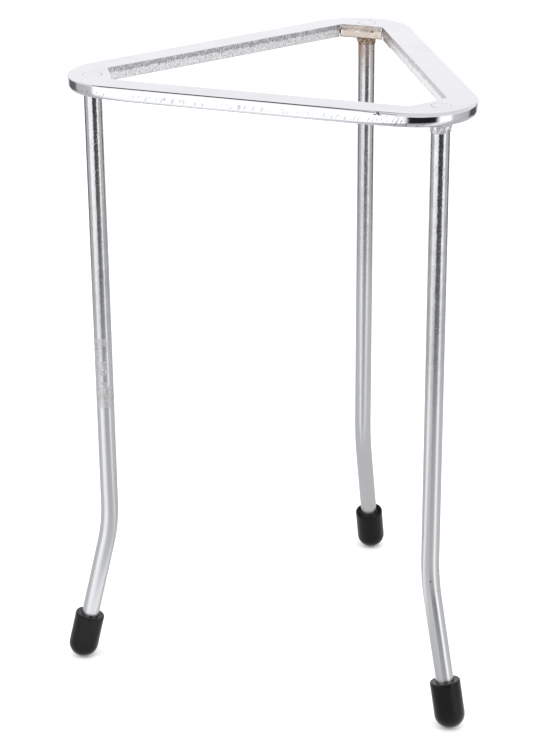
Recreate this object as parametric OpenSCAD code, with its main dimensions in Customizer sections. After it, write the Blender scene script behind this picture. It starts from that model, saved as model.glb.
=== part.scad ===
// Lab tripod stand: a flat triangular ring on three round rods with push-on feet.
// The rods pass through the ring's corners, are welded below it and dressed flush on top.

/* [Ring] */
// Distance between the centre lines of neighbouring legs
leg_pitch = 115.5; // [90:0.5:150]
// Thickness of the ring
ring_t = 4.4; // [3:0.1:8]
// From the line through two leg centres out to the ring's side, at the top face
edge_out = 13.5; // [10:0.1:20]
// Width of each straight side of the ring, at the top face
bar_w = 9.7; // [6:0.1:14]
// Radius of the ring's outer corners, at the top face
corner_r = 19; // [12:0.5:24]
// Slope ground along the ring's lower outer edge, inwards and up
edge_slope = 1.1; // [0.2:0.1:2]
// From a leg's centre inwards to the flat across the opening's corner
corner_flat = 5.6; // [4.5:0.1:8]

/* [Legs] */
// Diameter of the rod
rod_d = 6; // [4:0.5:8]
// Added to the rod's diameter for its hole in the ring
hole_clearance = 0.1; // [0.05:0.05:0.4]
// Chamfer at the mouth of each hole, seen as a fine ring round the rod's end
seam = 0.2; // [0.1:0.05:0.4]
// Depth of the bend's corner below the ring's top face
bend_drop = 158.3; // [110:0.1:220]
// Angle of the leg's lower end, outwards from upright
splay = 13.5; // [5:0.5:25]
// Radius of the bend on the rod's centre line
bend_r = 65; // [20:1:120]
// How much thinner the cold-bent rod is along the bend, on its diameter
bend_neck = 0.03; // [0.01:0.01:0.2]

/* [Welds] */
// How far each weld reaches out from the rod: left, right and back
weld_out = [1, 1.6, 1.6]; // [0.5:0.1:2]
// How far each weld runs down the rod: left, right and back
weld_down = [1.8, 2.6, 3]; // [1:0.1:5]

/* [Feet] */
// From the bend's corner to the rim of the foot cap, along the leg
cap_start = 35.7; // [25:0.1:60]
// Outer diameter of the cap
cap_d = 10.2; // [9:0.1:14]
// Length of the cap's straight part, above its round end
cap_straight = 11.5; // [6:0.1:20]
// Depth of the blind bore that the rod sits in
cap_bore = 12; // [6:0.1:16]
// Added to the rod's diameter for the bore
cap_clearance = 0.1; // [0.05:0.05:0.4]
// Chamfer round the cap's rim
cap_edge = 0.35; // [0.1:0.05:0.8]

/* [Hidden] */
$fn = 96;

// Colours of the plating, the welds and the caps
plating = "#c8cbd0";
weld_grey = "#a3a3a3";
weld_brown = "#7d5f4c";
cap_black = "#17171a";

// Corners, numbered left, right, back, and their directions from the ring's middle
LEFT = 0;
RIGHT = 1;
BACK = 2;
corner_angle = [210, 330, 90];

// A cut runs this far past the face it opens, and a straight this far into the bend
past = 1;
joint = 0.2;

// How far the ring's corners stand proud of its sides
corner_proud = 0.02;

// From the ring's middle: to a leg's centre, to the line through two of them,
// to the opening's sides and to the centre of an outer corner
leg_out = leg_pitch / sqrt(3);
leg_line = leg_out / 2;
opening_in = leg_line + edge_out - bar_w;
corner_out = 2 * (leg_line + edge_out - corner_r);
flat_out = leg_out - corner_flat;

// Along the bent end, from the bend's corner: to the start of its straight part,
// to the rod's end on the floor of the bore and to the centre of the cap's round end
bend_tangent = bend_r * tan(splay / 2);
rod_end = cap_start + cap_bore;
cap_centre = cap_start + cap_straight;

// Heights above the surface that the stand is on
bend_z = cap_d / 2 + cap_centre * cos(splay);
top_z = bend_z + bend_drop;
under_z = top_z - ring_t;

// The origin is under the middle of the whole stand's box
foot_out = leg_out + cap_centre * sin(splay);
reach_back = max(foot_out + cap_d / 2, corner_out + corner_r);
reach_front = max(foot_out / 2 + cap_d / 2, leg_line + edge_out);
middle_y = (reach_front - reach_back) / 2;

// Places its children on a leg's centre line, with +X pointing out of the corner
module at_corner(i) {
    translate([0, middle_y, 0])
        rotate(corner_angle[i])
            translate([leg_out, 0, 0])
                children();
}

// Places its children at the bend's corner, with +Z running down the bent end
module at_bent_end(i) {
    at_corner(i)
        translate([0, 0, bend_z])
            rotate([0, 180 - splay, 0])
                children();
}

// Half the section of the ring's blank, out to reach: upright, with the slope ground
// along its lower edge, and running past the faces above and below
module blank_section(reach) {
    low = reach - edge_slope - past;
    tall = ring_t + 2 * past;
    polygon([[0, 0], [low, 0], [reach, edge_slope + past], [reach, tall], [0, tall]]);
}

// The section spun round each corner and run along each side, cut level above and
// below by one slab. The corners stand a hair proud of the sides, so that walls that
// would only touch cross cleanly.
module ring_blank() {
    side = corner_out * sqrt(3);
    slab = 4 * (corner_out + corner_r);
    intersection() {
        translate([0, 0, -past])
            for (a = corner_angle) {
                rotate(a)
                    translate([corner_out, 0, 0])
                        rotate_extrude()
                            blank_section(corner_r + corner_proud);
                rotate(a + 60)
                    translate([corner_out / 2, side / 2, 0])
                        rotate([90, 0, 0])
                            linear_extrude(side)
                                blank_section(corner_r);
            }
        translate([-slab / 2, -slab / 2, 0])
            cube([slab, slab, ring_t]);
    }
}

// The opening's outline: a triangle whose corners are cut flat
module opening_outline() {
    intersection() {
        polygon([for (a = corner_angle) 2 * opening_in * [cos(a), sin(a)]]);
        rotate(180)
            polygon([for (a = corner_angle) 2 * flat_out * [cos(a), sin(a)]]);
    }
}

// The flat triangular ring with its opening and its three rod holes
module top_plate() {
    hole_d = rod_d + hole_clearance;
    color(plating)
        difference() {
            translate([0, middle_y, under_z])
                ring_blank();
            translate([0, middle_y, under_z - past])
                linear_extrude(ring_t + 2 * past)
                    opening_outline();
            for (i = [LEFT, RIGHT, BACK])
                at_corner(i) {
                    translate([0, 0, under_z - past])
                        cylinder(d = hole_d, h = ring_t + 2 * past);
                    translate([0, 0, top_z - 2 * seam])
                        cylinder(d1 = hole_d - 2 * seam, d2 = hole_d + 4 * seam, h = 3 * seam);
                }
        }
}

// One rod: straight through the ring, bent outwards, straight again into its cap
module leg(i) {
    straight_z = bend_z + bend_tangent;
    color(plating) {
        at_corner(i) {
            translate([0, 0, straight_z - joint])
                cylinder(d = rod_d, h = top_z - straight_z + joint);
            translate([bend_r, 0, straight_z])
                rotate([90, 0, 0])
                    rotate(180)
                        rotate_extrude(angle = splay)
                            translate([bend_r, 0])
                                circle(d = rod_d - bend_neck);
        }
        at_bent_end(i)
            translate([0, 0, bend_tangent - joint])
                cylinder(d = rod_d, h = rod_end - bend_tangent + joint);
    }
}

// The fillet of weld metal under the ring, hollow between the rod and the underside
module weld(i, tint) {
    reach = weld_out[i];
    drop = weld_down[i];
    color(tint)
        at_corner(i)
            translate([0, 0, under_z])
                rotate_extrude()
                    translate([rod_d / 2, 0])
                        polygon([
                            [0, 0],
                            [0, -drop],
                            [reach / 4, -drop * 0.55],
                            [reach / 2, -drop * 0.3],
                            [reach, -drop * 0.1],
                            [reach, 0],
                        ]);
}

// One push-on cap: a sleeve with a round end and a blind bore
module foot(i) {
    color(cap_black)
        at_bent_end(i)
            difference() {
                union() {
                    translate([0, 0, cap_start])
                        cylinder(d1 = cap_d - 2 * cap_edge, d2 = cap_d, h = cap_edge);
                    translate([0, 0, cap_start + cap_edge])
                        cylinder(d = cap_d, h = cap_straight - cap_edge);
                    translate([0, 0, cap_centre])
                        sphere(d = cap_d);
                }
                translate([0, 0, cap_start - past])
                    cylinder(d = rod_d + cap_clearance, h = cap_bore + past);
            }
}

top_plate();
leg(LEFT);  // leg_left
leg(RIGHT);  // leg_right
leg(BACK);  // leg_back
weld(LEFT, weld_grey);  // weld_left
weld(RIGHT, weld_grey);  // weld_right
weld(BACK, weld_brown);  // weld_back
foot(LEFT);  // foot_left
foot(RIGHT);  // foot_right
foot(BACK);  // foot_back
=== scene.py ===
import math

import bpy
from mathutils import Matrix, Vector, noise


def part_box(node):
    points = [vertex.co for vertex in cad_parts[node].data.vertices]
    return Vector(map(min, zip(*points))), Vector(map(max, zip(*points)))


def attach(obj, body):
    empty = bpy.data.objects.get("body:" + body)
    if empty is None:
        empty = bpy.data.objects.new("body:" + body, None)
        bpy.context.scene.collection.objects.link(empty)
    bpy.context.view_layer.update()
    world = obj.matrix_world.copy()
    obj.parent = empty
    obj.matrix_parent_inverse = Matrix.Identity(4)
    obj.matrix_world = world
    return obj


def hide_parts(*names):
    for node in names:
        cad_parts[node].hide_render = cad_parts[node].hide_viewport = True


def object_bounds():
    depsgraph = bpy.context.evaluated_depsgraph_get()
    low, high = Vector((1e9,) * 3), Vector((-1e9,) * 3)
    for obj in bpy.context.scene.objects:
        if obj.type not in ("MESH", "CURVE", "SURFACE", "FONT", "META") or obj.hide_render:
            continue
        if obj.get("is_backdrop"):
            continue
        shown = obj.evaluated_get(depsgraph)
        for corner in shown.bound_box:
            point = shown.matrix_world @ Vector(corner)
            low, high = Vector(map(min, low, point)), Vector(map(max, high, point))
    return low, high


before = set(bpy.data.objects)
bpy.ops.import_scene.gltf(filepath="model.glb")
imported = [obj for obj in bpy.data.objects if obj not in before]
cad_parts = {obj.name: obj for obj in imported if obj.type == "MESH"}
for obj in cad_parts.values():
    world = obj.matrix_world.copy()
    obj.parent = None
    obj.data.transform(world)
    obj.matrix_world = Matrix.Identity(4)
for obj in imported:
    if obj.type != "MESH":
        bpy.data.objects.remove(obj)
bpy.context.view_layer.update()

# ---------------------------------------------------------------------------
# The stand's own layout
# Everything stands on its three upright rods, so their places, which are the middles of
# the welds, give the ring's middle and the three directions that point out of it.
# ---------------------------------------------------------------------------
CORNERS = ("left", "right", "back")
rod_at = {}
for corner in CORNERS:
    low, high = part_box("weld_" + corner)
    rod_at[corner] = Vector(((low.x + high.x) / 2, (low.y + high.y) / 2, 0))
ring_middle = sum(rod_at.values(), Vector()) / 3
outward = {corner: (rod_at[corner] - ring_middle).normalized() for corner in CORNERS}


# ---------------------------------------------------------------------------
# Camera
# A long lens a little above the ring, round to the right of the front bar.
# It looks at a point near the middle of the stand's height.
# ---------------------------------------------------------------------------
view_turn = math.radians(21.667)
view_drop = math.radians(21.929)
view_roll = math.radians(-0.494)
view_distance = 0.70147
aim_aside = -0.010784
aim_height = 0.104445
lens_mm = 100.8

to_camera = Vector(
    (
        math.sin(view_turn) * math.cos(view_drop),
        -math.cos(view_turn) * math.cos(view_drop),
        math.sin(view_drop),
    )
)
level_right = Vector((math.cos(view_turn), math.sin(view_turn), 0))
level_up = to_camera.cross(level_right)
camera_right = level_right * math.cos(view_roll) + level_up * math.sin(view_roll)
camera_up = level_up * math.cos(view_roll) - level_right * math.sin(view_roll)
aim = ring_middle + level_right * aim_aside + Vector((0, 0, aim_height))
camera_place = aim + to_camera * view_distance

bpy.ops.object.camera_add()
camera = bpy.context.object
camera.name = "camera"
camera.data.lens = lens_mm
camera.data.sensor_width = 36
camera.matrix_world = Matrix.Translation(camera_place) @ Matrix(
    (camera_right, camera_up, to_camera)
).transposed().to_4x4()
bpy.context.scene.camera = camera


# ---------------------------------------------------------------------------
# Ring
# One flat piece of steel plate, punched and ground to a triangle with round corners, its
# opening sheared out, and then plated. The rods' ends show in it as three fine circles.
# ---------------------------------------------------------------------------
ring_low, ring_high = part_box("top_plate")
ring_top = ring_high.z
ring_under = ring_low.z
side_out = ring_middle.y - ring_low.y  # from the middle to each straight side
corner_radius = (side_out * math.sqrt(3) - ring_high.x) / (math.sqrt(3) - 1)
corner_out = 2 * (side_out - corner_radius)
bar_width = 0.0097
flat_inside_rod = 0.0056  # from a rod's middle in to the flat across the opening
rod_radius = 0.003
rod_out = (rod_at["back"] - ring_middle).length
opening_in = side_out - bar_width
flat_out = rod_out - flat_inside_rod


def alone(*objects):
    """Only these objects are selected, and the first is the active one."""
    if bpy.context.object and bpy.context.object.mode != "OBJECT":
        bpy.ops.object.mode_set(mode="OBJECT")
    bpy.ops.object.select_all(action="DESELECT")
    for item in objects:
        item.select_set(True)
    bpy.context.view_layer.objects.active = objects[0]
    return objects[0]


def choose(kind, test):
    """In edit mode, selects the faces, edges or vertices that pass the test."""
    item = bpy.context.object
    bpy.ops.mesh.select_mode(type={"polygons": "FACE", "edges": "EDGE"}.get(kind, "VERT"))
    bpy.ops.mesh.select_all(action="DESELECT")
    bpy.ops.object.mode_set(mode="OBJECT")
    for part in getattr(item.data, kind):
        part.select = bool(test(part))
    bpy.ops.object.mode_set(mode="EDIT")


def apply_all(item):
    """Applies the object's modifiers in order, and its place, turn and scale."""
    alone(item)
    for modifier in list(item.modifiers):
        bpy.ops.object.modifier_apply(modifier=modifier.name)
    bpy.ops.object.transform_apply(location=True, rotation=True, scale=True)


# Three discs, one to a corner, wrapped by the one flat shape that holds them
discs = []
for corner in CORNERS:
    at = ring_middle + outward[corner] * corner_out
    alone(camera)
    bpy.ops.mesh.primitive_cylinder_add(
        vertices=180,
        radius=corner_radius,
        depth=ring_top - ring_under,
        location=(at.x, at.y, (ring_top + ring_under) / 2),
    )
    discs.append(bpy.context.object)
ring = alone(*discs)
ring.name = "ring"
bpy.ops.object.join()
bpy.ops.object.transform_apply(location=True, rotation=True, scale=True)
bpy.ops.object.mode_set(mode="EDIT")
bpy.ops.mesh.select_all(action="SELECT")
bpy.ops.mesh.convex_hull()
bpy.ops.mesh.select_all(action="SELECT")
bpy.ops.mesh.dissolve_limited(angle_limit=math.radians(0.2))


def edge_length(edge):
    """How long an edge of the mesh in hand is."""
    a, b = (bpy.context.object.data.vertices[i].co for i in edge.vertices)
    return (a - b).length


def level_edge(edge, z):
    """Whether an edge lies at this height."""
    points = bpy.context.object.data.vertices
    return all(abs(points[i].co.z - z) < 2e-6 for i in edge.vertices)


def eased(value, low, high):
    """0 below low, 1 above high, and smooth between."""
    share = min(1, max(0, (value - low) / (high - low)))
    return share * share * (3 - 2 * share)


# The long sides are divided, so that the rounding of their edges can change along them
long_side = 0.05
choose("edges", lambda e: edge_length(e) > long_side)
bpy.ops.mesh.subdivide(number_cuts=39)
bpy.ops.object.mode_set(mode="OBJECT")

# Its edges were rounded over by hand on a grinding wheel: little above, except where the
# wheel rolled the right-hand corner over, and more below, most of all at the corners
edge_above, edge_rolled = 0.00045, 0.0011
edge_below, edge_below_corner = 0.0008, 0.0019
right_arc = ring_middle + outward["right"] * corner_out
rounding = ring.data.attributes.new("bevel_weight_edge", "FLOAT", "EDGE")
for edge in ring.data.edges:
    a, b = (ring.data.vertices[i].co for i in edge.vertices)
    middle = (a + b) / 2
    across = max((middle - ring_middle).dot(out) for out in outward.values())
    cornerness = eased(across, corner_out + 0.002, corner_out + 0.014)
    if level_edge(edge, ring_under):
        size = edge_below + (edge_below_corner - edge_below) * cornerness
    elif level_edge(edge, ring_top):
        from_arc = middle - right_arc
        turned = math.atan2(from_arc.x, -from_arc.y)
        along = from_arc.x if from_arc.x < 0 else turned * corner_radius
        if from_arc.y > 0 or turned > math.pi:
            along = 1
        roll = eased(along, -0.014, 0.004) * (1 - eased(along, 0.026, 0.036))
        size = edge_above + (edge_rolled - edge_above) * roll
    else:
        continue
    rounding.data[edge.index].value = size / edge_below_corner
rounded = ring.modifiers.new("rounded_edges", "BEVEL")
rounded.limit_method = "WEIGHT"
rounded.width = edge_below_corner
rounded.segments = 6
rounded.use_clamp_overlap = False


def cut(body, cutter):
    """Takes the cutter's shape out of the body, and the cutter away."""
    boolean = body.modifiers.new("cut", "BOOLEAN")
    boolean.operation = "DIFFERENCE"
    boolean.solver = "MANIFOLD"
    boolean.object = cutter
    apply_all(body)
    bpy.data.objects.remove(cutter)


apply_all(ring)

# Lines across the ring's faces through every hole, so that no face has a hole inside it
alone(ring)
bpy.ops.object.mode_set(mode="EDIT")
for corner in CORNERS:
    bpy.ops.mesh.select_all(action="SELECT")
    bpy.ops.mesh.bisect(
        plane_co=ring_middle, plane_no=outward[corner].cross(Vector((0, 0, 1)))
    )

# The opening: a triangular punch with its three corners cut flat
alone(camera)
bpy.ops.mesh.primitive_cylinder_add(
    vertices=3,
    radius=2 * opening_in,
    depth=0.02,
    location=(ring_middle.x, ring_middle.y, ring_top),
)
punch = bpy.context.object
bpy.ops.object.mode_set(mode="EDIT")
for corner in CORNERS:
    bpy.ops.mesh.select_all(action="SELECT")
    bpy.ops.mesh.bisect(
        plane_co=ring_middle + outward[corner] * flat_out,
        plane_no=outward[corner],
        use_fill=True,
        clear_outer=True,
    )


def upright_edge(edge):
    """Whether an edge is nearer to upright than to level."""
    a, b = (bpy.context.object.data.vertices[i].co for i in edge.vertices)
    return abs(a.z - b.z) > 0.9 * (a - b).length


choose("edges", upright_edge)
bpy.ops.mesh.bevel(offset=0.0004, segments=3, affect="EDGES")
cut(ring, punch)

# The rods' holes. Each is countersunk a hair, and hammering and plating have closed part
# of that groove: (direction seen from above, half-width, how open) for each open stretch.
# The directions are degrees, counted from the camera's right.
GROOVE = {
    "left": ((0, 40, 1.0), (100, 60, 0.55), (175, 35, 0.7)),
    "right": ((40, 38, 1.0), (222, 40, 0.9)),
    "back": ((0, 130, 0.75), (180, 130, 0.75)),
}
groove_from = 22
hole_radius = rod_radius + 0.00003
groove_width = 0.00026
groove_depth = 0.0004
for corner in CORNERS:
    alone(camera)
    bpy.ops.mesh.primitive_cylinder_add(
        vertices=96,
        radius=hole_radius,
        depth=0.01,
        location=(*rod_at[corner].xy, ring_top - groove_depth - 0.005),
    )
    drill = bpy.context.object
    bpy.ops.object.mode_set(mode="EDIT")
    choose("polygons", lambda f: f.normal.z > 0.9)
    bpy.ops.mesh.extrude_region_move(
        TRANSFORM_OT_translate={"value": (0, 0, groove_depth)}
    )
    bpy.ops.object.mode_set(mode="OBJECT")
    for vertex in drill.data.vertices:
        if vertex.select:
            side = Vector((vertex.co.x, vertex.co.y, 0)).normalized()
            heading = math.degrees(math.atan2(side.y, side.x)) - groove_from
            openness = sum(
                much * math.exp(-((((heading - at + 180) % 360 - 180) / wide) ** 2))
                for at, wide, much in GROOVE[corner]
            )
            ragged = 1 + 0.25 * noise.noise(side * 6 + outward[corner] * 3)
            vertex.co += side * groove_width * min(1, openness) * ragged
    bpy.ops.object.mode_set(mode="EDIT")
    bpy.ops.mesh.extrude_region_move(TRANSFORM_OT_translate={"value": (0, 0, 0.001)})
    bpy.ops.object.mode_set(mode="OBJECT")
    cut(ring, drill)

# A nick knocked in the front bar's upper edge, towards its right-hand end
nick_at = Vector((0.0425, ring_low.y + 0.0001, ring_top - 0.0008))
alone(camera)
bpy.ops.mesh.primitive_uv_sphere_add(
    segments=24,
    ring_count=16,
    radius=0.001,
    scale=(0.45, 0.5, 1.25),
    rotation=(0, math.radians(-28), 0),
    location=nick_at,
)
cut(ring, bpy.context.object)

# The opening's edges, above and below, have only a hair of roundness
inward = [-outward[corner] for corner in CORNERS]  # towards the middle of each side


def edge_of_opening(edge):
    """Whether an edge runs along the opening, in the ring's top face or its underside."""
    for i in edge.vertices:
        point = bpy.context.object.data.vertices[i].co
        from_middle = point - ring_middle
        if min(abs(point.z - ring_top), abs(point.z - ring_under)) > 2e-6:
            return False
        if max(from_middle.dot(n) for n in inward) > opening_in + 2e-6:
            return False
        if max(from_middle.dot(-n) for n in inward) > flat_out + 2e-6:
            return False
    a, b = (bpy.context.object.data.vertices[i].co for i in edge.vertices)
    return abs(a.z - b.z) < 1e-6


alone(ring)
bpy.ops.object.mode_set(mode="EDIT")
choose("edges", edge_of_opening)
bpy.ops.mesh.bevel(offset=0.00012, segments=2, affect="EDGES", clamp_overlap=False)


# The walls are divided finely enough to carry their unevenness
def wall_edge(edge, shortest, longest, upright):
    """Whether an edge runs along or up one of the ring's walls and has that length."""
    a, b = (bpy.context.object.data.vertices[i].co for i in edge.vertices)
    if not shortest < (a - b).length < longest:
        return False
    rise = abs(a.z - b.z) / (a - b).length
    if rise < 0.99 if upright else rise > 0.01:
        return False
    middle = (a + b) / 2 - ring_middle
    near = max(middle.dot(n) for n in inward)
    on_side = near > side_out - 0.0022 or abs(near - opening_in) < 0.0005
    on_flat = abs(max(middle.dot(-n) for n in inward) - flat_out) < 0.0005
    beyond = max(middle.dot(-n) for n in inward) > corner_out
    return on_side or on_flat or beyond


for shortest, longest, upright, cuts in (
    (0.050, 0.200, False, 99),
    (0.010, 0.020, False, 19),
    (0.0015, 0.003, False, 1),
    (0.0012, 0.0050, True, 9),
):
    choose("edges", lambda e: wall_edge(e, shortest, longest, upright))
    bpy.ops.mesh.subdivide(number_cuts=cuts)
bpy.ops.object.mode_set(mode="OBJECT")

# The shear left a smooth band below the opening's upper edge and tore the rest of the
# thickness, which falls away a little and has upright streaks. The outer walls were
# ground by hand, so they are never quite flat.
smooth_band = 0.0012
torn = ring.vertex_groups.new(name="torn")
streaked = ring.vertex_groups.new(name="streaked")
hand_ground = ring.vertex_groups.new(name="hand_ground")
opening_points = set()
for vertex in ring.data.vertices:
    from_middle = vertex.co - ring_middle
    depth = ring_top - vertex.co.z
    along = max(from_middle.dot(n) for n in inward)
    across = max(from_middle.dot(-n) for n in inward)
    if abs(along - opening_in) < 3e-6 or abs(across - flat_out) < 3e-6:
        opening_points.add(vertex.index)
        wander = 0.0004 * noise.noise(vertex.co * Vector((90, 90, 0)))
        share = min(1, max(0, (depth - smooth_band - wander) / 0.0002))
        lower_edge = min(1, max(0, (vertex.co.z - ring_under) / 0.0003))
        slope = (depth - smooth_band) / (ring_top - ring_under - smooth_band)
        torn.add([vertex.index], share * (0.25 + 0.75 * max(0, slope)), "REPLACE")
        streaked.add([vertex.index], (0.12 + 0.88 * share) * lower_edge, "REPLACE")
    elif along > side_out - 2e-6 or across > corner_out + corner_radius * 0.9:
        edge_fade = min(1, max(0, (depth - 0.0003) / 0.0004))
        hand_ground.add([vertex.index], edge_fade, "REPLACE")

bpy.ops.object.empty_add()
streak_frame = bpy.context.object
streak_frame.scale = (0.001, 0.001, 0.0025)  # millimetres, drawn out upright
bpy.context.view_layer.update()


def uneven(item, name, size, height, group=None, frame_of=None, depth=2):
    """Raises and sinks a surface by this height, in lumps of about this size, measured in
    the scale of another object where one is given."""
    lumps = bpy.data.textures.new(name, "CLOUDS")
    lumps.noise_scale = size
    lumps.noise_depth = depth
    displace = item.modifiers.new(name, "DISPLACE")
    displace.texture = lumps
    displace.strength = height
    displace.mid_level = 0.5
    if frame_of:
        displace.texture_coords = "OBJECT"
        displace.texture_coords_object = frame_of
    if group:
        displace.vertex_group = group


falling_away = ring.modifiers.new("falling_away", "DISPLACE")
falling_away.strength = -0.00028
falling_away.mid_level = 0
falling_away.vertex_group = "torn"
uneven(ring, "tear_streaks", 0.4, 0.00012, "streaked", streak_frame)
uneven(ring, "hand_grinding", 0.006, 0.00005, "hand_ground", depth=1)
apply_all(ring)
bpy.data.objects.remove(streak_frame)
alone(ring)
bpy.ops.object.shade_smooth_by_angle(angle=math.radians(20))
even = ring.modifiers.new("flat_faces_stay_flat", "WEIGHTED_NORMAL")
even.keep_sharp = True
apply_all(ring)


def linear(colour):
    """An sRGB colour, written as #rrggbb, as the linear value that a shader takes."""
    parts = [int(colour[i : i + 2], 16) / 255 for i in (1, 3, 5)]
    return [c / 12.92 if c <= 0.04045 else ((c + 0.055) / 1.055) ** 2.4 for c in parts] + [1]


def add(tree, kind, sockets=None, **settings):
    """Adds a shader node with its settings. A socket is given a value, or what it is linked
    to: an output, or a node, which stands for the first of its outputs that is in use."""
    made = tree.nodes.new("ShaderNode" + kind)
    for name, value in settings.items():
        setattr(made, name, value)
    for name, value in (sockets or {}).items():
        if isinstance(value, bpy.types.Node):
            value = next(output for output in value.outputs if output.enabled)
        if isinstance(value, bpy.types.NodeSocket):
            tree.links.new(value, made.inputs[name])
        else:
            made.inputs[name].default_value = value
    return made


def new_material(name):
    """A material of that name with no nodes yet, and its node tree."""
    material = bpy.data.materials.new(name)
    material.use_nodes = True
    material.node_tree.nodes.clear()
    return material, material.node_tree


def finish_with(tree, kind, sockets):
    """Ends a material with this shader, joined to the material's output."""
    shader = add(tree, kind, sockets)
    add(tree, "OutputMaterial", {"Surface": shader})


# MapRange's sockets are the value (0), the range it is read over (1, 2) and the results at
# that range's ends (3, 4), which are 0 and 1 unless given. Mix's are the share (0) and the
# two colours (6, 7), or the two numbers (2, 3).
SMOOTH = {"interpolation_type": "SMOOTHSTEP"}

# Chromium plating over ground steel: mirror bright, with a slight haze in patches, fine
# polishing lines and a few specks where the plating has pitted. In every material here, a
# scale is how many of the pattern's grains lie on a metre.
chrome_bright, chrome_dull = "#cbcbd0", "#b9babf"
haze_scale = 70  # patches 14 mm across
pit_scale = 420  # pits at most 2.4 mm apart
polish_scale = (60, 2600, 300)  # lines 0.4 mm apart, as coarse as they need to show
plated, tree = new_material("polished_chromium_plate")
place = add(tree, "TexCoord").outputs["Object"]
apart = add(tree, "SeparateXYZ", {0: place}).outputs
haze = add(tree, "TexNoise", {"Vector": place, "Scale": haze_scale, "Detail": 3})
polish_frame = add(
    tree, "Mapping", {"Vector": place, "Rotation": (0, 0, 0.5), "Scale": polish_scale}
)
polish = add(tree, "TexNoise", {"Vector": polish_frame, "Scale": 1, "Detail": 2})
pits = add(tree, "TexVoronoi", {"Vector": place, "Scale": pit_scale, "Randomness": 1})
pit = add(tree, "MapRange", {0: pits, 1: 0.05, 2: 0.12, 3: 1, 4: 0}, **SMOOTH)
hazy = add(tree, "MapRange", {0: haze, 1: 0.55, 2: 0.62}, **SMOOTH)
pitted = add(tree, "Math", {0: pit, 1: hazy}, operation="MULTIPLY")
colour = add(
    tree, "Mix", {0: haze, 6: linear(chrome_bright), 7: linear(chrome_dull)}, data_type="RGBA"
)
rough = add(tree, "MapRange", {0: haze, 1: 0.35, 2: 0.7, 3: 0.045, 4: 0.12}, **SMOOTH)
height = add(tree, "Math", {0: polish, 1: 0.4, 2: pitted}, operation="MULTIPLY_ADD")

# The front wall's grinding marks: a row of dashes half way down, and close scratches at
# the right-hand corner, all of them leaning strokes
stroke_size = (0.0004, 0.01, 0.0022)  # width, any depth into the wall, and length
stroke_lean = 0.5
row_depth, row_half = 0.0026, 0.0007
scratches_from, scratches_full = 0.04, 0.05
mark_grey = "#757578"
front = add(
    tree, "MapRange", {0: apart["Y"], 1: ring_low.y + 0.004, 2: ring_low.y + 0.0003}, **SMOOTH
)
below_edge = add(
    tree, "MapRange", {0: apart["Z"], 1: ring_top - 0.0004, 2: ring_top - 0.0008}, **SMOOTH
)
front_wall = add(tree, "Math", {0: front, 1: below_edge}, operation="MULTIPLY")
stroke_frame = add(
    tree,
    "Mapping",
    {"Vector": place, "Rotation": (0, stroke_lean, 0), "Scale": stroke_size},
    vector_type="TEXTURE",
)
stroke = add(tree, "TexNoise", {"Vector": stroke_frame, "Scale": 1, "Detail": 2})
stroke = add(tree, "MapRange", {0: stroke, 1: 0.55, 2: 0.68}, **SMOOTH)
at_corner = add(
    tree, "MapRange", {0: apart["X"], 1: scratches_from, 2: scratches_full}, **SMOOTH
)
in_row = add(
    tree, "Math", {0: apart["Z"], 1: ring_top - row_depth, 2: row_half}, operation="COMPARE"
)
marks = add(tree, "Math", {0: in_row, 1: 0.9, 2: at_corner}, operation="MULTIPLY_ADD")
marks = add(tree, "Math", {0: marks, 1: stroke}, operation="MULTIPLY")
marks = add(tree, "Math", {0: marks, 1: front_wall}, operation="MULTIPLY")
greyed = add(tree, "Math", {0: marks, 1: 0.8}, operation="MULTIPLY")
colour = add(tree, "Mix", {0: greyed, 6: colour, 7: linear(mark_grey)}, data_type="RGBA")
height = add(tree, "Math", {0: marks, 1: 4.0, 2: height}, operation="MULTIPLY_ADD")
bump = add(
    tree, "Bump", {"Strength": 0.05, "Distance": 0.0001, "Height": height}, invert=True
)
finish_with(
    tree,
    "BsdfPrincipled",
    {"Base Color": colour, "Metallic": 1, "Roughness": rough, "Normal": bump},
)
ring.data.materials.clear()  # the cuts left an empty slot
ring.data.materials.append(plated)

# The same plating over the torn faces of the opening, which are grey and granular, with a
# darker smooth band at the top and bright flecks below it. At the back it has rusted, and
# right through in one pit.
torn_scale = (2300, 2300, 1300)  # grains 0.4 mm wide and 0.8 mm tall
blotch_scale = 260  # blotches 4 mm across
torn_dark, torn_bright = "#9d9ea3", "#efeff1"
rust_film, rust_brown = "#c6b9ac", "#6e5233"
back_flat = ring_middle.y + flat_out
pit_middle = Vector((0.0039, back_flat, ring_top - 0.0019))
sheared, tree = new_material("chromium_plate_on_sheared_steel")
place = add(tree, "TexCoord").outputs["Object"]
apart = add(tree, "SeparateXYZ", {0: place}).outputs
grain_frame = add(tree, "Mapping", {"Vector": place, "Scale": torn_scale})
grain = add(tree, "TexNoise", {"Vector": grain_frame, "Scale": 1, "Detail": 3})
blotches = add(tree, "TexNoise", {"Vector": place, "Scale": blotch_scale, "Detail": 3})
wander = add(tree, "Math", {0: blotches, 1: 0.0022, 2: apart["Z"]}, operation="MULTIPLY_ADD")
lower = add(
    tree, "MapRange", {0: wander, 1: ring_top - 0.0004, 2: ring_top - 0.0011}, **SMOOTH
)
at_back = add(
    tree, "MapRange", {0: apart["Y"], 1: back_flat - 0.0024, 2: back_flat}, **SMOOTH
)
tone = add(tree, "Math", {0: lower, 1: 0.2, 2: grain}, operation="MULTIPLY_ADD")
tone = add(tree, "Math", {0: at_back, 1: 0.1, 2: tone}, operation="MULTIPLY_ADD")
tone = add(tree, "MapRange", {0: tone, 1: 0.38, 2: 0.82}, **SMOOTH)
colour = add(
    tree, "Mix", {0: tone, 6: linear(torn_dark), 7: linear(torn_bright)}, data_type="RGBA"
)
rust = add(tree, "MapRange", {0: blotches, 1: 0.3, 2: 0.6, 3: 0.5, 4: 0.95}, **SMOOTH)
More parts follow.
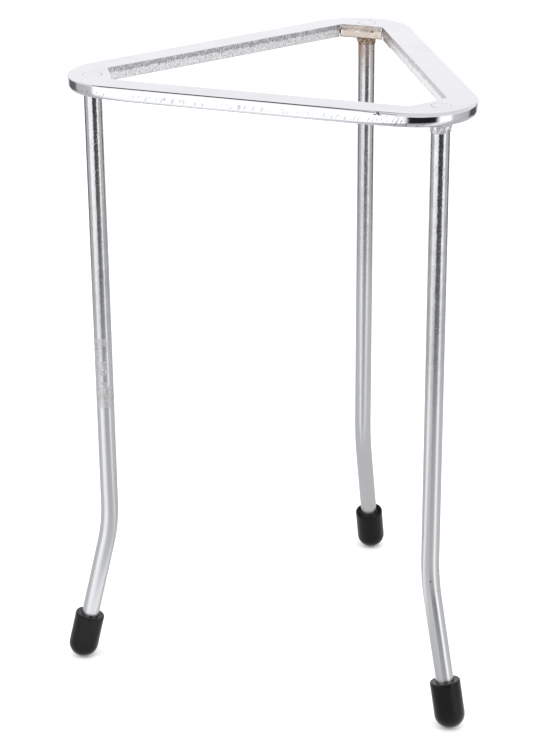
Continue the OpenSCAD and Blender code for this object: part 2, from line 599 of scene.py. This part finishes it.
rust = add(tree, "Math", {0: at_back, 1: rust}, operation="MULTIPLY")
colour = add(
    tree,
    "Mix",
    {0: rust, 6: colour, 7: linear(rust_film)},
    data_type="RGBA",
    blend_type="MULTIPLY",
)
off_pit = add(tree, "VectorMath", {0: place, 1: pit_middle}, operation="DISTANCE")
off_pit = add(tree, "Math", {0: blotches, 1: 0.0006, 2: off_pit}, operation="MULTIPLY_ADD")
in_pit = add(tree, "MapRange", {0: off_pit, 1: 0.0009, 2: 0.0006}, **SMOOTH)
colour = add(tree, "Mix", {0: in_pit, 6: colour, 7: linear(rust_brown)}, data_type="RGBA")
rough = add(tree, "MapRange", {0: grain, 1: 0.3, 2: 0.7, 3: 0.25, 4: 0.4}, **SMOOTH)
bump = add(tree, "Bump", {"Strength": 0.5, "Distance": 0.0001, "Height": grain})
finish_with(
    tree,
    "BsdfPrincipled",
    {"Base Color": colour, "Metallic": 1, "Roughness": rough, "Normal": bump},
)
ring.data.materials.append(sheared)
for face in ring.data.polygons:
    if all(i in opening_points for i in face.vertices):
        face.material_index = 1

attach(ring, "root")
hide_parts("top_plate")


# ---------------------------------------------------------------------------
# Rods
# Three 6 mm bright steel rods, bent outwards near the foot and plated with the ring. Each
# goes up through its hole, is welded underneath and is dressed flush with the top face.
# ---------------------------------------------------------------------------
bend_drop = 0.1583  # from the ring's top face down to the corner of the bend
splay = math.radians(13.5)
bend_radius = 0.065
rod_past_bend = 0.0477  # from the corner of the bend to the rod's end inside its cap
rod_top = ring_top - 0.00002  # dressed flush, so a hair below the ring's face
bend_z = ring_top - bend_drop
bend_tangent = bend_radius * math.tan(splay / 2)
leg_way = {
    corner: outward[corner] * math.sin(splay) - Vector((0, 0, math.cos(splay)))
    for corner in CORNERS
}


def chosen_middle():
    """The middle of the selected vertices of the mesh in edit mode."""
    item = bpy.context.object
    item.update_from_editmode()
    places = [v.co for v in item.data.vertices if v.select]
    return sum(places, Vector()) / len(places)


def make_rod(corner):
    """One rod, from a disc at its top: drawn down, turned out through the bend, on again."""
    alone(camera)
    bpy.ops.mesh.primitive_circle_add(
        vertices=64,
        radius=rod_radius,
        fill_type="NGON",
        location=(*rod_at[corner].xy, rod_top),
    )
    rod = bpy.context.object
    rod.name = "rod_" + corner
    bpy.ops.object.transform_apply(location=True, rotation=True, scale=True)
    bpy.ops.object.mode_set(mode="EDIT")
    bpy.ops.mesh.extrude_region_move(
        TRANSFORM_OT_translate={"value": (0, 0, bend_tangent - bend_drop)}
    )
    bpy.ops.mesh.spin(
        steps=24,
        angle=splay,
        center=rod_at[corner]
        + outward[corner] * bend_radius
        + Vector((0, 0, bend_z + bend_tangent)),
        axis=Vector((0, 0, 1)).cross(outward[corner]),
    )
    bpy.ops.mesh.extrude_region_move(
        TRANSFORM_OT_translate={"value": leg_way[corner] * (rod_past_bend - bend_tangent)}
    )
    bpy.ops.mesh.select_all(action="SELECT")
    bpy.ops.mesh.normals_make_consistent(inside=False)

    # The dressed end has a barely broken edge, and rows of faces every half millimetre
    # carry the ripple that the plating has
    choose("edges", lambda e: level_edge(e, rod_top))
    bpy.ops.mesh.bevel(offset=0.00005, segments=2, affect="EDGES")
    for shortest, cuts in ((0.1, 29), (0.03, 7), (0.002, 9)):
        choose("edges", lambda e: edge_length(e) > shortest)
        bpy.ops.mesh.subdivide(number_cuts=cuts)
    bpy.ops.object.mode_set(mode="OBJECT")

    rippled = rod.vertex_groups.new(name="rippled")
    for vertex in rod.data.vertices:
        height = vertex.co.z
        fade = min(1, max(0, (ring_under - height) / 0.001))
        fade *= 1 if height > 0.11 else max(0.25, 1 - (0.11 - height) / 0.02)
        rippled.add([vertex.index], fade, "REPLACE")
    uneven(rod, "ripple", 0.0011, 0.000022, "rippled")
    apply_all(rod)
    alone(rod)
    bpy.ops.object.shade_smooth_by_angle(angle=math.radians(20))
    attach(rod, "root")
    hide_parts("leg_" + corner)
    return rod


rods = {corner: make_rod(corner) for corner in CORNERS}


# Chromium plating on drawn rod that was not polished first: bright, but broken up by
# pits and by a slight haze on the upper half. What the rod reflects is drawn out along it.
rod_bright, rod_dull = "#c6c7ca", "#a9aaac"
label_grey, label_pale = "#8a8a8b", "#bcbcbc"
rust_stain = "#a98f80"
speck_brown = "#55504c"
haze_scale = 260  # patches 4 mm across
grain_scale = 1500  # grains 0.7 mm across
pit_scale = 900  # pits 1 mm apart
blot_scale = 420  # ragged edges of what lies on the rod, 2.4 mm across
fibre_scale = 1300  # paper fibres, drawn 0.8 mm thick so that they show
speck_scale = 330  # specks 3 mm apart
label_top = 0.12
clear_places = ((0.1123, 0.1167), (0.1049, 0.1073))  # lowest and highest point of each

for corner in CORNERS:
    material, tree = new_material("chromium_plate_on_rod_" + corner)
    place = add(tree, "TexCoord").outputs["Object"]
    apart = add(tree, "SeparateXYZ", {0: place}).outputs
    upper = add(tree, "MapRange", {0: apart["Z"], 1: 0.105, 2: 0.135}, **SMOOTH)
    haze = add(tree, "TexNoise", {"Vector": place, "Scale": haze_scale, "Detail": 3})
    grain = add(tree, "TexNoise", {"Vector": place, "Scale": grain_scale, "Detail": 3})
    pits = add(tree, "TexVoronoi", {"Vector": place, "Scale": pit_scale})
    pit = add(tree, "MapRange", {0: pits, 1: 0.08, 2: 0.3, 3: 1, 4: 0}, **SMOOTH)
    hazy = add(tree, "MapRange", {0: haze, 1: 0.48, 2: 0.6}, **SMOOTH)
    pitted = add(tree, "Math", {0: pit, 1: hazy}, operation="MULTIPLY")
    pitted = add(tree, "Math", {0: pitted, 1: upper}, operation="MULTIPLY")
    height = add(tree, "Math", {0: grain, 1: upper, 2: pitted}, operation="MULTIPLY_ADD")
    bump = add(
        tree, "Bump", {"Strength": 0.6, "Distance": 0.00008, "Height": height}, invert=True
    )
    dulled = add(tree, "Math", {0: haze, 1: upper}, operation="MULTIPLY")
    colour = add(
        tree, "Mix", {0: dulled, 6: linear(rod_bright), 7: linear(rod_dull)}, data_type="RGBA"
    )
    rough = add(tree, "MapRange", {0: dulled, 1: 0, 2: 0.7, 3: 0.2, 4: 0.16}, **SMOOTH)
    metallic = 1
    blots = add(tree, "TexNoise", {"Vector": place, "Scale": blot_scale, "Detail": 3})
    ragged_z = add(
        tree, "Math", {0: blots, 1: 0.0035, 2: apart["Z"]}, operation="MULTIPLY_ADD"
    )

    # What lies on this rod, each as the masks that say where, its colour, its roughness
    # and how metallic it leaves the rod
    layers = []
    if corner == "left":
        # What is left of an old adhesive label: thin and milky, its upper edge cut straight,
        # with clear metal showing in two worn places
        aside = add(tree, "VectorMath", {0: place, 1: level_right}, operation="DOT_PRODUCT")
        aside = add(
            tree,
            "Math",
            {0: aside, 1: rod_at[corner].dot(level_right)},
            operation="SUBTRACT",
        )
        ragged_aside = add(
            tree, "Math", {0: blots, 1: 0.003, 2: aside}, operation="MULTIPLY_ADD"
        )
        not_clear = 1
        for low, high in clear_places:
            clear = 1
            for value, outside, inside in (
                (ragged_z, low + 0.0014, low + 0.002),
                (ragged_z, high + 0.002, high + 0.0014),
                (ragged_aside, 0.0004, 0.0008),
                (ragged_aside, 0.0028, 0.0022),
            ):
                edge = add(tree, "MapRange", {0: value, 1: outside, 2: inside}, **SMOOTH)
                clear = add(tree, "Math", {0: clear, 1: edge}, operation="MULTIPLY")
            not_clear = add(tree, "Math", {0: not_clear, 1: clear}, operation="SUBTRACT")
        side_edge = add(
            tree,
            "MapRange",
            {0: apart["Z"], 1: 0.104, 2: 0.1, 3: 0.0028, 4: 0.0055},
            **SMOOTH,
        )
        label = [
            add(
                tree,
                "MapRange",
                {0: apart["Z"], 1: label_top + 0.0003, 2: label_top},
                **SMOOTH,
            ),
            add(tree, "MapRange", {0: ragged_z, 1: 0.0965, 2: 0.0975}, **SMOOTH),
            add(tree, "Math", {0: ragged_aside, 1: side_edge}, operation="LESS_THAN"),
            add(tree, "MapRange", {0: blots, 1: 0.38, 2: 0.62, 3: 0.55, 4: 0.9}, **SMOOTH),
            not_clear,
        ]
        fibres = add(tree, "TexNoise", {"Vector": place, "Scale": fibre_scale, "Detail": 3})
        fibres = add(tree, "MapRange", {0: fibres, 1: 0.48, 2: 0.66}, **SMOOTH)
        layers.append((label, label_grey, 0.42, 0.35))
        layers.append((label + [fibres], label_pale, 0.5, None))
    if corner == "back":
        # Rust bleeding down from the weld, stronger on its left
        stain = [
            add(
                tree,
                "MapRange",
                {0: ragged_z, 1: ring_under - 0.015, 2: ring_under - 0.001},
                **SMOOTH,
            ),
            add(
                tree,
                "MapRange",
                {0: apart["X"], 1: 0.003, 2: -0.002, 3: 0.45, 4: 0.9},
                **SMOOTH,
            ),
            add(tree, "MapRange", {0: blots, 1: 0.35, 2: 0.6, 3: 0.6, 4: 1}, **SMOOTH),
        ]
        layers.append((stain, rust_stain, 0.42, 0.8))
    if corner == "right":
        # Dark specks of dirt or rust, low down
        specks = add(tree, "TexVoronoi", {"Vector": place, "Scale": speck_scale})
        dirt = [
            add(tree, "MapRange", {0: specks, 1: 0.13, 2: 0.07}, **SMOOTH),
            add(tree, "MapRange", {0: apart["Z"], 1: 0.1, 2: 0.075}, **SMOOTH),
            add(tree, "MapRange", {0: blots, 1: 0.45, 2: 0.5}, **SMOOTH),
        ]
        layers.append((dirt, speck_brown, 0.5, 0.7))
    for masks, over, over_rough, over_metallic in layers:
        mask = 1
        for part in masks:
            mask = add(tree, "Math", {0: mask, 1: part}, operation="MULTIPLY")
        colour = add(tree, "Mix", {0: mask, 6: colour, 7: linear(over)}, data_type="RGBA")
        rough = add(tree, "Mix", {0: mask, 2: rough, 3: over_rough}, data_type="FLOAT")
        if over_metallic is not None:
            metallic = add(tree, "MapRange", {0: mask, 3: 1, 4: over_metallic}, **SMOOTH)
    upright = add(tree, "CombineXYZ", {"Z": 1})
    finish_with(
        tree,
        "BsdfPrincipled",
        {
            "Base Color": colour,
            "Metallic": metallic,
            "Roughness": rough,
            "Anisotropic": 0.92,
            "Tangent": upright,
            "Normal": bump,
        },
    )

    # The dressed end was polished with the ring, so it has the ring's finish
    rods[corner].data.materials.append(material)
    rods[corner].data.materials.append(plated)
    for face in rods[corner].data.polygons:
        if face.center.z > ring_top - 0.0001:
            face.material_index = 1


# ---------------------------------------------------------------------------
# Welds
# The metal of the three joints, a small lumpy collar round each rod under the ring. It
# was plated over with the rest, except that the one at the back has rusted through.
# ---------------------------------------------------------------------------
WELD_SIZE = {"left": (0.0010, 0.0018), "right": (0.0018, 0.0036), "back": (0.0016, 0.0030)}
WELD_COLOURS = {
    "left": ("#9a999a", "#d9dadc"),
    "right": ("#a9a9ab", "#f2f2f3"),
    "back": ("#7b6454", "#b7a494"),
}
# The bead's outline, from its foot on the rod: shares of its reach and of its height
BEAD_OUTLINE = ((0.1, 0.3), (0.24, 0.58), (0.5, 0.8), (0.95, 0.96), (1.05, 1.04))
bead_foot = rod_radius + 0.00012
bead_voxel = 0.00014
bead_lump, bead_lump_height = 0.0011, 0.0007
lump_scale = 900  # bright and dull spots 1.1 mm across

for corner in CORNERS:
    reach, drop = WELD_SIZE[corner]
    alone(camera)
    bpy.ops.mesh.primitive_circle_add(
        vertices=48,
        radius=bead_foot,
        location=(*rod_at[corner].xy, ring_under - drop),
    )
    bead = bpy.context.object
    bead.name = "weld_bead_" + corner
    bpy.ops.object.transform_apply(location=True, rotation=True, scale=True)
    bpy.ops.object.mode_set(mode="EDIT")
    radius = bead_foot
    for out, up in BEAD_OUTLINE:
        wanted = rod_radius + reach * out
        bpy.ops.mesh.extrude_region_move()
        middle = chosen_middle()
        bpy.ops.transform.resize(
            value=(wanted / radius, wanted / radius, 1),
            center_override=middle,
        )
        bpy.ops.transform.translate(value=(0, 0, ring_under - drop + drop * up - middle.z))
        radius = wanted
    bpy.ops.mesh.edge_face_add()
    bpy.ops.mesh.select_all(action="SELECT")
    bpy.ops.mesh.select_non_manifold()
    bpy.ops.mesh.edge_face_add()
    bpy.ops.mesh.select_all(action="SELECT")
    bpy.ops.mesh.normals_make_consistent(inside=False)
    bpy.ops.object.mode_set(mode="OBJECT")
    voxels = bead.modifiers.new("one_skin", "REMESH")
    voxels.mode = "VOXEL"
    voxels.voxel_size = bead_voxel
    uneven(bead, "ripples_of_weld", bead_lump, bead_lump_height)
    apply_all(bead)
    alone(bead)
    bpy.ops.object.shade_smooth()

    # Weld metal under the plating: dull in its hollows and bright on its lumps, or brown
    # with rust where the plating has gone
    dull, bright = WELD_COLOURS[corner]
    material, tree = new_material("weld_metal_" + corner)
    place = add(tree, "TexCoord").outputs["Object"]
    lumps = add(tree, "TexNoise", {"Vector": place, "Scale": lump_scale, "Detail": 4})
    shade = add(tree, "MapRange", {0: lumps, 1: 0.35, 2: 0.65}, **SMOOTH)
    colour = add(
        tree, "Mix", {0: shade, 6: linear(dull), 7: linear(bright)}, data_type="RGBA"
    )
    rough = add(tree, "MapRange", {0: lumps, 1: 0.3, 2: 0.7, 3: 0.5, 4: 0.2}, **SMOOTH)
    finish_with(
        tree, "BsdfPrincipled", {"Base Color": colour, "Metallic": 1, "Roughness": rough}
    )
    bead.data.materials.append(material)

    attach(bead, "root")
    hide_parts("weld_" + corner)


# ---------------------------------------------------------------------------
# Foot caps
# Three black soft vinyl caps, dip-moulded with a round end. Each is pushed onto its rod
# until the rod's end meets the floor of the bore.
# ---------------------------------------------------------------------------
cap_radius = 0.0051
cap_rim_at = 0.0357  # from the corner of the bend to the cap's rim
cap_straight = 0.0115
cap_bore_depth = 0.012
cap_bore_radius = 0.00305
outer_round, inner_round = 0.00045, 0.0002  # of the rim's two edges


def rim_edge(edge, radius):
    """Whether an edge runs round the cap's rim at this distance from its middle line."""
    points = bpy.context.object.data.vertices
    return level_edge(edge, cap_straight) and all(
        abs(points[i].co.xy.length - radius) < 1e-5 for i in edge.vertices
    )


def make_cap():
    """One cap, round end down, with its rim up and the middle of that end at the origin."""
    alone(camera)
    bpy.ops.mesh.primitive_uv_sphere_add(segments=64, ring_count=32, radius=cap_radius)
    cap = bpy.context.object
    bpy.ops.object.mode_set(mode="EDIT")
    bpy.ops.mesh.bisect(plane_co=(0, 0, 0), plane_no=(0, 0, 1), clear_outer=True)
    bpy.ops.mesh.edge_face_add()
    bpy.ops.mesh.extrude_region_move(
        TRANSFORM_OT_translate={"value": (0, 0, cap_straight)}
    )
    bpy.ops.mesh.inset(thickness=cap_radius - cap_bore_radius, depth=0)
    bpy.ops.mesh.extrude_region_move(
        TRANSFORM_OT_translate={"value": (0, 0, -cap_bore_depth)}
    )
    choose("edges", lambda e: rim_edge(e, cap_radius))
    bpy.ops.mesh.bevel(offset=outer_round, segments=5, affect="EDGES")
    choose("edges", lambda e: rim_edge(e, cap_bore_radius))
    bpy.ops.mesh.bevel(offset=inner_round, segments=3, affect="EDGES")
    choose("edges", lambda e: edge_length(e) > 0.009)
    bpy.ops.mesh.subdivide(number_cuts=11)
    bpy.ops.mesh.select_all(action="SELECT")
    bpy.ops.mesh.normals_make_consistent(inside=False)
    bpy.ops.object.mode_set(mode="OBJECT")
    return cap


# Glossy black vinyl, dipped, so its skin is slightly wavy, here dull and there shiny
vinyl_black, vinyl_worn = "#040405", "#0b0b0c"
cloud_scale = 180  # duller patches 6 mm across
skin_scale = 1400  # grains of the skin 0.7 mm across
vinyl, tree = new_material("dipped_black_vinyl")
place = add(tree, "TexCoord").outputs["Object"]
cloudy = add(tree, "TexNoise", {"Vector": place, "Scale": cloud_scale, "Detail": 3})
skin = add(tree, "TexNoise", {"Vector": place, "Scale": skin_scale, "Detail": 2})
colour = add(
    tree, "Mix", {0: cloudy, 6: linear(vinyl_black), 7: linear(vinyl_worn)}, data_type="RGBA"
)
rough = add(tree, "MapRange", {0: cloudy, 1: 0.3, 2: 0.7, 3: 0.1, 4: 0.22}, **SMOOTH)
bump = add(tree, "Bump", {"Strength": 0.04, "Distance": 0.0001, "Height": skin})
finish_with(
    tree,
    "BsdfPrincipled",
    {
        "Base Color": colour,
        "Roughness": rough,
        "IOR": 1.5,
        "Specular IOR Level": 0.2,
        "Normal": bump,
    },
)

# One cap is made and copied, and then each is put on its rod
caps = {"left": make_cap()}
for corner in ("right", "back"):
    caps[corner] = caps["left"].copy()
    caps[corner].data = caps["left"].data.copy()
    bpy.context.collection.objects.link(caps[corner])
for corner, cap in caps.items():
    cap.name = "cap_" + corner
    up_leg = -leg_way[corner]
    at = (
        rod_at[corner]
        + Vector((0, 0, bend_z))
        + leg_way[corner] * (cap_rim_at + cap_straight)
    )
    across = Vector((0, 0, 1)).cross(outward[corner])
    turn = Matrix((across.cross(up_leg), across, up_leg)).transposed().to_4x4()
    cap.matrix_world = Matrix.Translation(at) @ turn
    alone(cap)
    bpy.ops.object.transform_apply(location=True, rotation=True, scale=True)
    uneven(cap, "dipped_skin", 0.004, 0.00006)
    apply_all(cap)
    alone(cap)
    bpy.ops.object.shade_smooth_by_angle(angle=math.radians(40))
    cap.data.materials.append(vinyl)
    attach(cap, "root")
    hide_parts("foot_" + corner)


# ---------------------------------------------------------------------------
# Studio
# A white floor under soft light from both sides and all round. Bright metal shows the
# room it stands in, so it has one that only it sees: a grey table that darkens towards
# the camera, pale walls with a tall soft light to each side, and a dark ceiling.
# ---------------------------------------------------------------------------
white_room = 1.4
floor_white = "#f2f2f2"
light_off, light_up = 0.8, 0.5  # from the ring's middle, and above the floor
light_watts = 3
room_radius = 0.6
room_top = 0.6
wall_height = 1.3
table_radius = 0.47
upper_walls = 1.3  # their brightness, which the ring's flat top shows
dark_strip_x, strip_half, strip_fade = -0.21, 0.1, 0.03  # a gap in the bright ceiling
ceiling_dark, ceiling_bright = 0.1, 1.2
# Brightness of the walls by angle, with the camera at 0 and angles to its right above it
WALLS = (
    (-180, 1.32), (-140, 1.25), (-136, 0.2), (-110, 0.2), (-104, 0.8), (-80, 0.84),
    (-70, 0.93), (-64, 1.9), (-20, 1.9), (-12, 0.03), (33, 0.03), (41, 1.9), (58, 1.9),
    (64, 0.95), (100, 0.75), (108, 0.15), (131, 0.15), (137, 1.25), (180, 1.32),
)
# Brightness of the table by angle, and by distance from a point under the camera
TABLE = (
    (-180, 0.8), (-90, 0.8), (-78, 0.9), (-66, 1.45), (-52, 1.5), (-39, 1.1), (-30, 0.76),
    (25, 0.76), (32, 1.0), (41, 1.5), (49, 1.45), (60, 0.95), (74, 0.8), (180, 0.8),
)
TABLE_FALL = (
    (0.12, 0.05), (0.2, 0.32), (0.245, 0.42), (0.271, 0.53), (0.32, 0.7), (0.37, 0.9),
    (0.41, 1.0),
)
under_camera = (0.668, 0, 0)

bpy.context.scene.view_settings.view_transform = "Standard"
world = bpy.data.worlds.new("white_room")
bpy.context.scene.world = world
world.use_nodes = True
world.node_tree.nodes["Background"].inputs["Color"].default_value = (1, 1, 1, 1)
world.node_tree.nodes["Background"].inputs["Strength"].default_value = white_room
world.cycles_visibility.glossy = False

toward_camera = Vector((to_camera.x, to_camera.y, 0)).normalized()
studio_turn = math.atan2(toward_camera.y, toward_camera.x)

alone(camera)
bpy.ops.mesh.primitive_plane_add(size=8, location=(ring_middle.x, ring_middle.y, 0))
floor = bpy.context.object
floor.name = "floor"
floor.visible_glossy = False
floor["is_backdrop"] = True
paint, tree = new_material("matt_white_floor")
finish_with(
    tree,
    "BsdfPrincipled",
    {"Base Color": linear(floor_white), "Roughness": 0.9, "Specular IOR Level": 0},
)
floor.data.materials.append(paint)

for side, name in ((-1, "soft_light_left"), (1, "soft_light_right")):
    heading = studio_turn + math.radians(55 * side)
    at = ring_middle + Vector(
        (math.cos(heading) * light_off, math.sin(heading) * light_off, light_up)
    )
    bpy.ops.object.light_add(type="AREA", location=at)
    soft_light = bpy.context.object
    soft_light.name = name
    soft_light.data.shape = "RECTANGLE"
    soft_light.data.size = 0.4
    soft_light.data.size_y = 0.6
    soft_light.data.energy = light_watts
    soft_light.visible_camera = False
    soft_light.visible_glossy = False
    facing = ring_middle + Vector((0, 0, 0.1)) - at
    soft_light.rotation_euler = facing.to_track_quat("-Z", "Y").to_euler()


def curve_of(tree, value, stops):
    """The brightness at this value: straight runs between stops of (value, brightness)."""
    first, last = stops[0][0], stops[-1][0]
    top = max(height for _, height in stops)
    share = add(tree, "MapRange", {0: value, 1: first, 2: last})
    curve = add(tree, "FloatCurve", {"Value": share})
    points = curve.mapping.curves[0].points
    points[0].location = (0, stops[0][1] / top)
    points[-1].location = (1, stops[-1][1] / top)
    for at, height in stops[1:-1]:
        points.new((at - first) / (last - first), height / top)
    for point in points:
        point.handle_type = "VECTOR"
    curve.mapping.update()
    return add(tree, "Math", {0: curve, 1: top}, operation="MULTIPLY")


def only_in_metal(item, name):
    """Makes a surface that only reflections see, and gives its material's node tree and the
    place on the surface."""
    item.name = name
    item.visible_camera = False
    item.visible_diffuse = False
    item.visible_transmission = False
    item.visible_volume_scatter = False
    item.visible_shadow = False
    item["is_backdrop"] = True
    material, tree = new_material(name)
    material.cycles.emission_sampling = "NONE"
    item.data.materials.append(material)
    return tree, add(tree, "TexCoord").outputs["Object"]


def angle_round(tree, place):
    """The angle of a place round the room, in degrees."""
    apart = add(tree, "SeparateXYZ", {0: place}).outputs
    angle = add(tree, "Math", {0: apart["Y"], 1: apart["X"]}, operation="ARCTAN2")
    return add(tree, "Math", {0: angle}, operation="DEGREES")


alone(camera)
bpy.ops.mesh.primitive_cylinder_add(
    vertices=128,
    radius=room_radius,
    depth=wall_height,
    end_fill_type="NOTHING",
    location=(ring_middle.x, ring_middle.y, room_top - wall_height / 2),
    rotation=(0, 0, studio_turn),
)
tree, place = only_in_metal(bpy.context.object, "walls_in_metal")
# Above the ring the walls are evenly bright. The heights are from the walls' middle.
height = add(tree, "SeparateXYZ", {0: place}).outputs["Z"]
above_ring = add(tree, "MapRange", {0: height, 1: 0.29, 2: 0.34}, **SMOOTH)
round_the_room = curve_of(tree, angle_round(tree, place), WALLS)
strength = add(
    tree, "Mix", {0: above_ring, 2: round_the_room, 3: upper_walls}, data_type="FLOAT"
)
finish_with(tree, "Emission", {"Strength": strength})

# The ring's upper edge shows the ceiling's dark strip as a thin dark line
alone(camera)
bpy.ops.mesh.primitive_circle_add(
    vertices=64,
    radius=room_radius,
    fill_type="NGON",
    location=(ring_middle.x, ring_middle.y, room_top),
)
tree, place = only_in_metal(bpy.context.object, "ceiling_in_metal")
aside = add(tree, "SeparateXYZ", {0: place}).outputs["X"]
off_strip = add(tree, "Math", {0: aside, 1: dark_strip_x}, operation="SUBTRACT")
off_strip = add(tree, "Math", {0: off_strip}, operation="ABSOLUTE")
strength = add(
    tree,
    "MapRange",
    {
        0: off_strip,
        1: strip_half,
        2: strip_half + strip_fade,
        3: ceiling_dark,
        4: ceiling_bright,
    },
    **SMOOTH,
)
finish_with(tree, "Emission", {"Strength": strength})

# The table's edge towards the camera is where the metal sees it end
alone(camera)
bpy.ops.mesh.primitive_circle_add(
    vertices=64,
    radius=table_radius,
    fill_type="NGON",
    location=(ring_middle.x, ring_middle.y, 0.0003),
    rotation=(0, 0, studio_turn),
)
tree, place = only_in_metal(bpy.context.object, "table_in_metal")
camera_off = add(tree, "VectorMath", {0: place, 1: under_camera}, operation="DISTANCE")
falling_off = curve_of(tree, camera_off, TABLE_FALL)
round_the_table = curve_of(tree, angle_round(tree, place), TABLE)
strength = add(tree, "Math", {0: falling_off, 1: round_the_table}, operation="MULTIPLY")
finish_with(tree, "Emission", {"Strength": strength})

low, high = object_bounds()
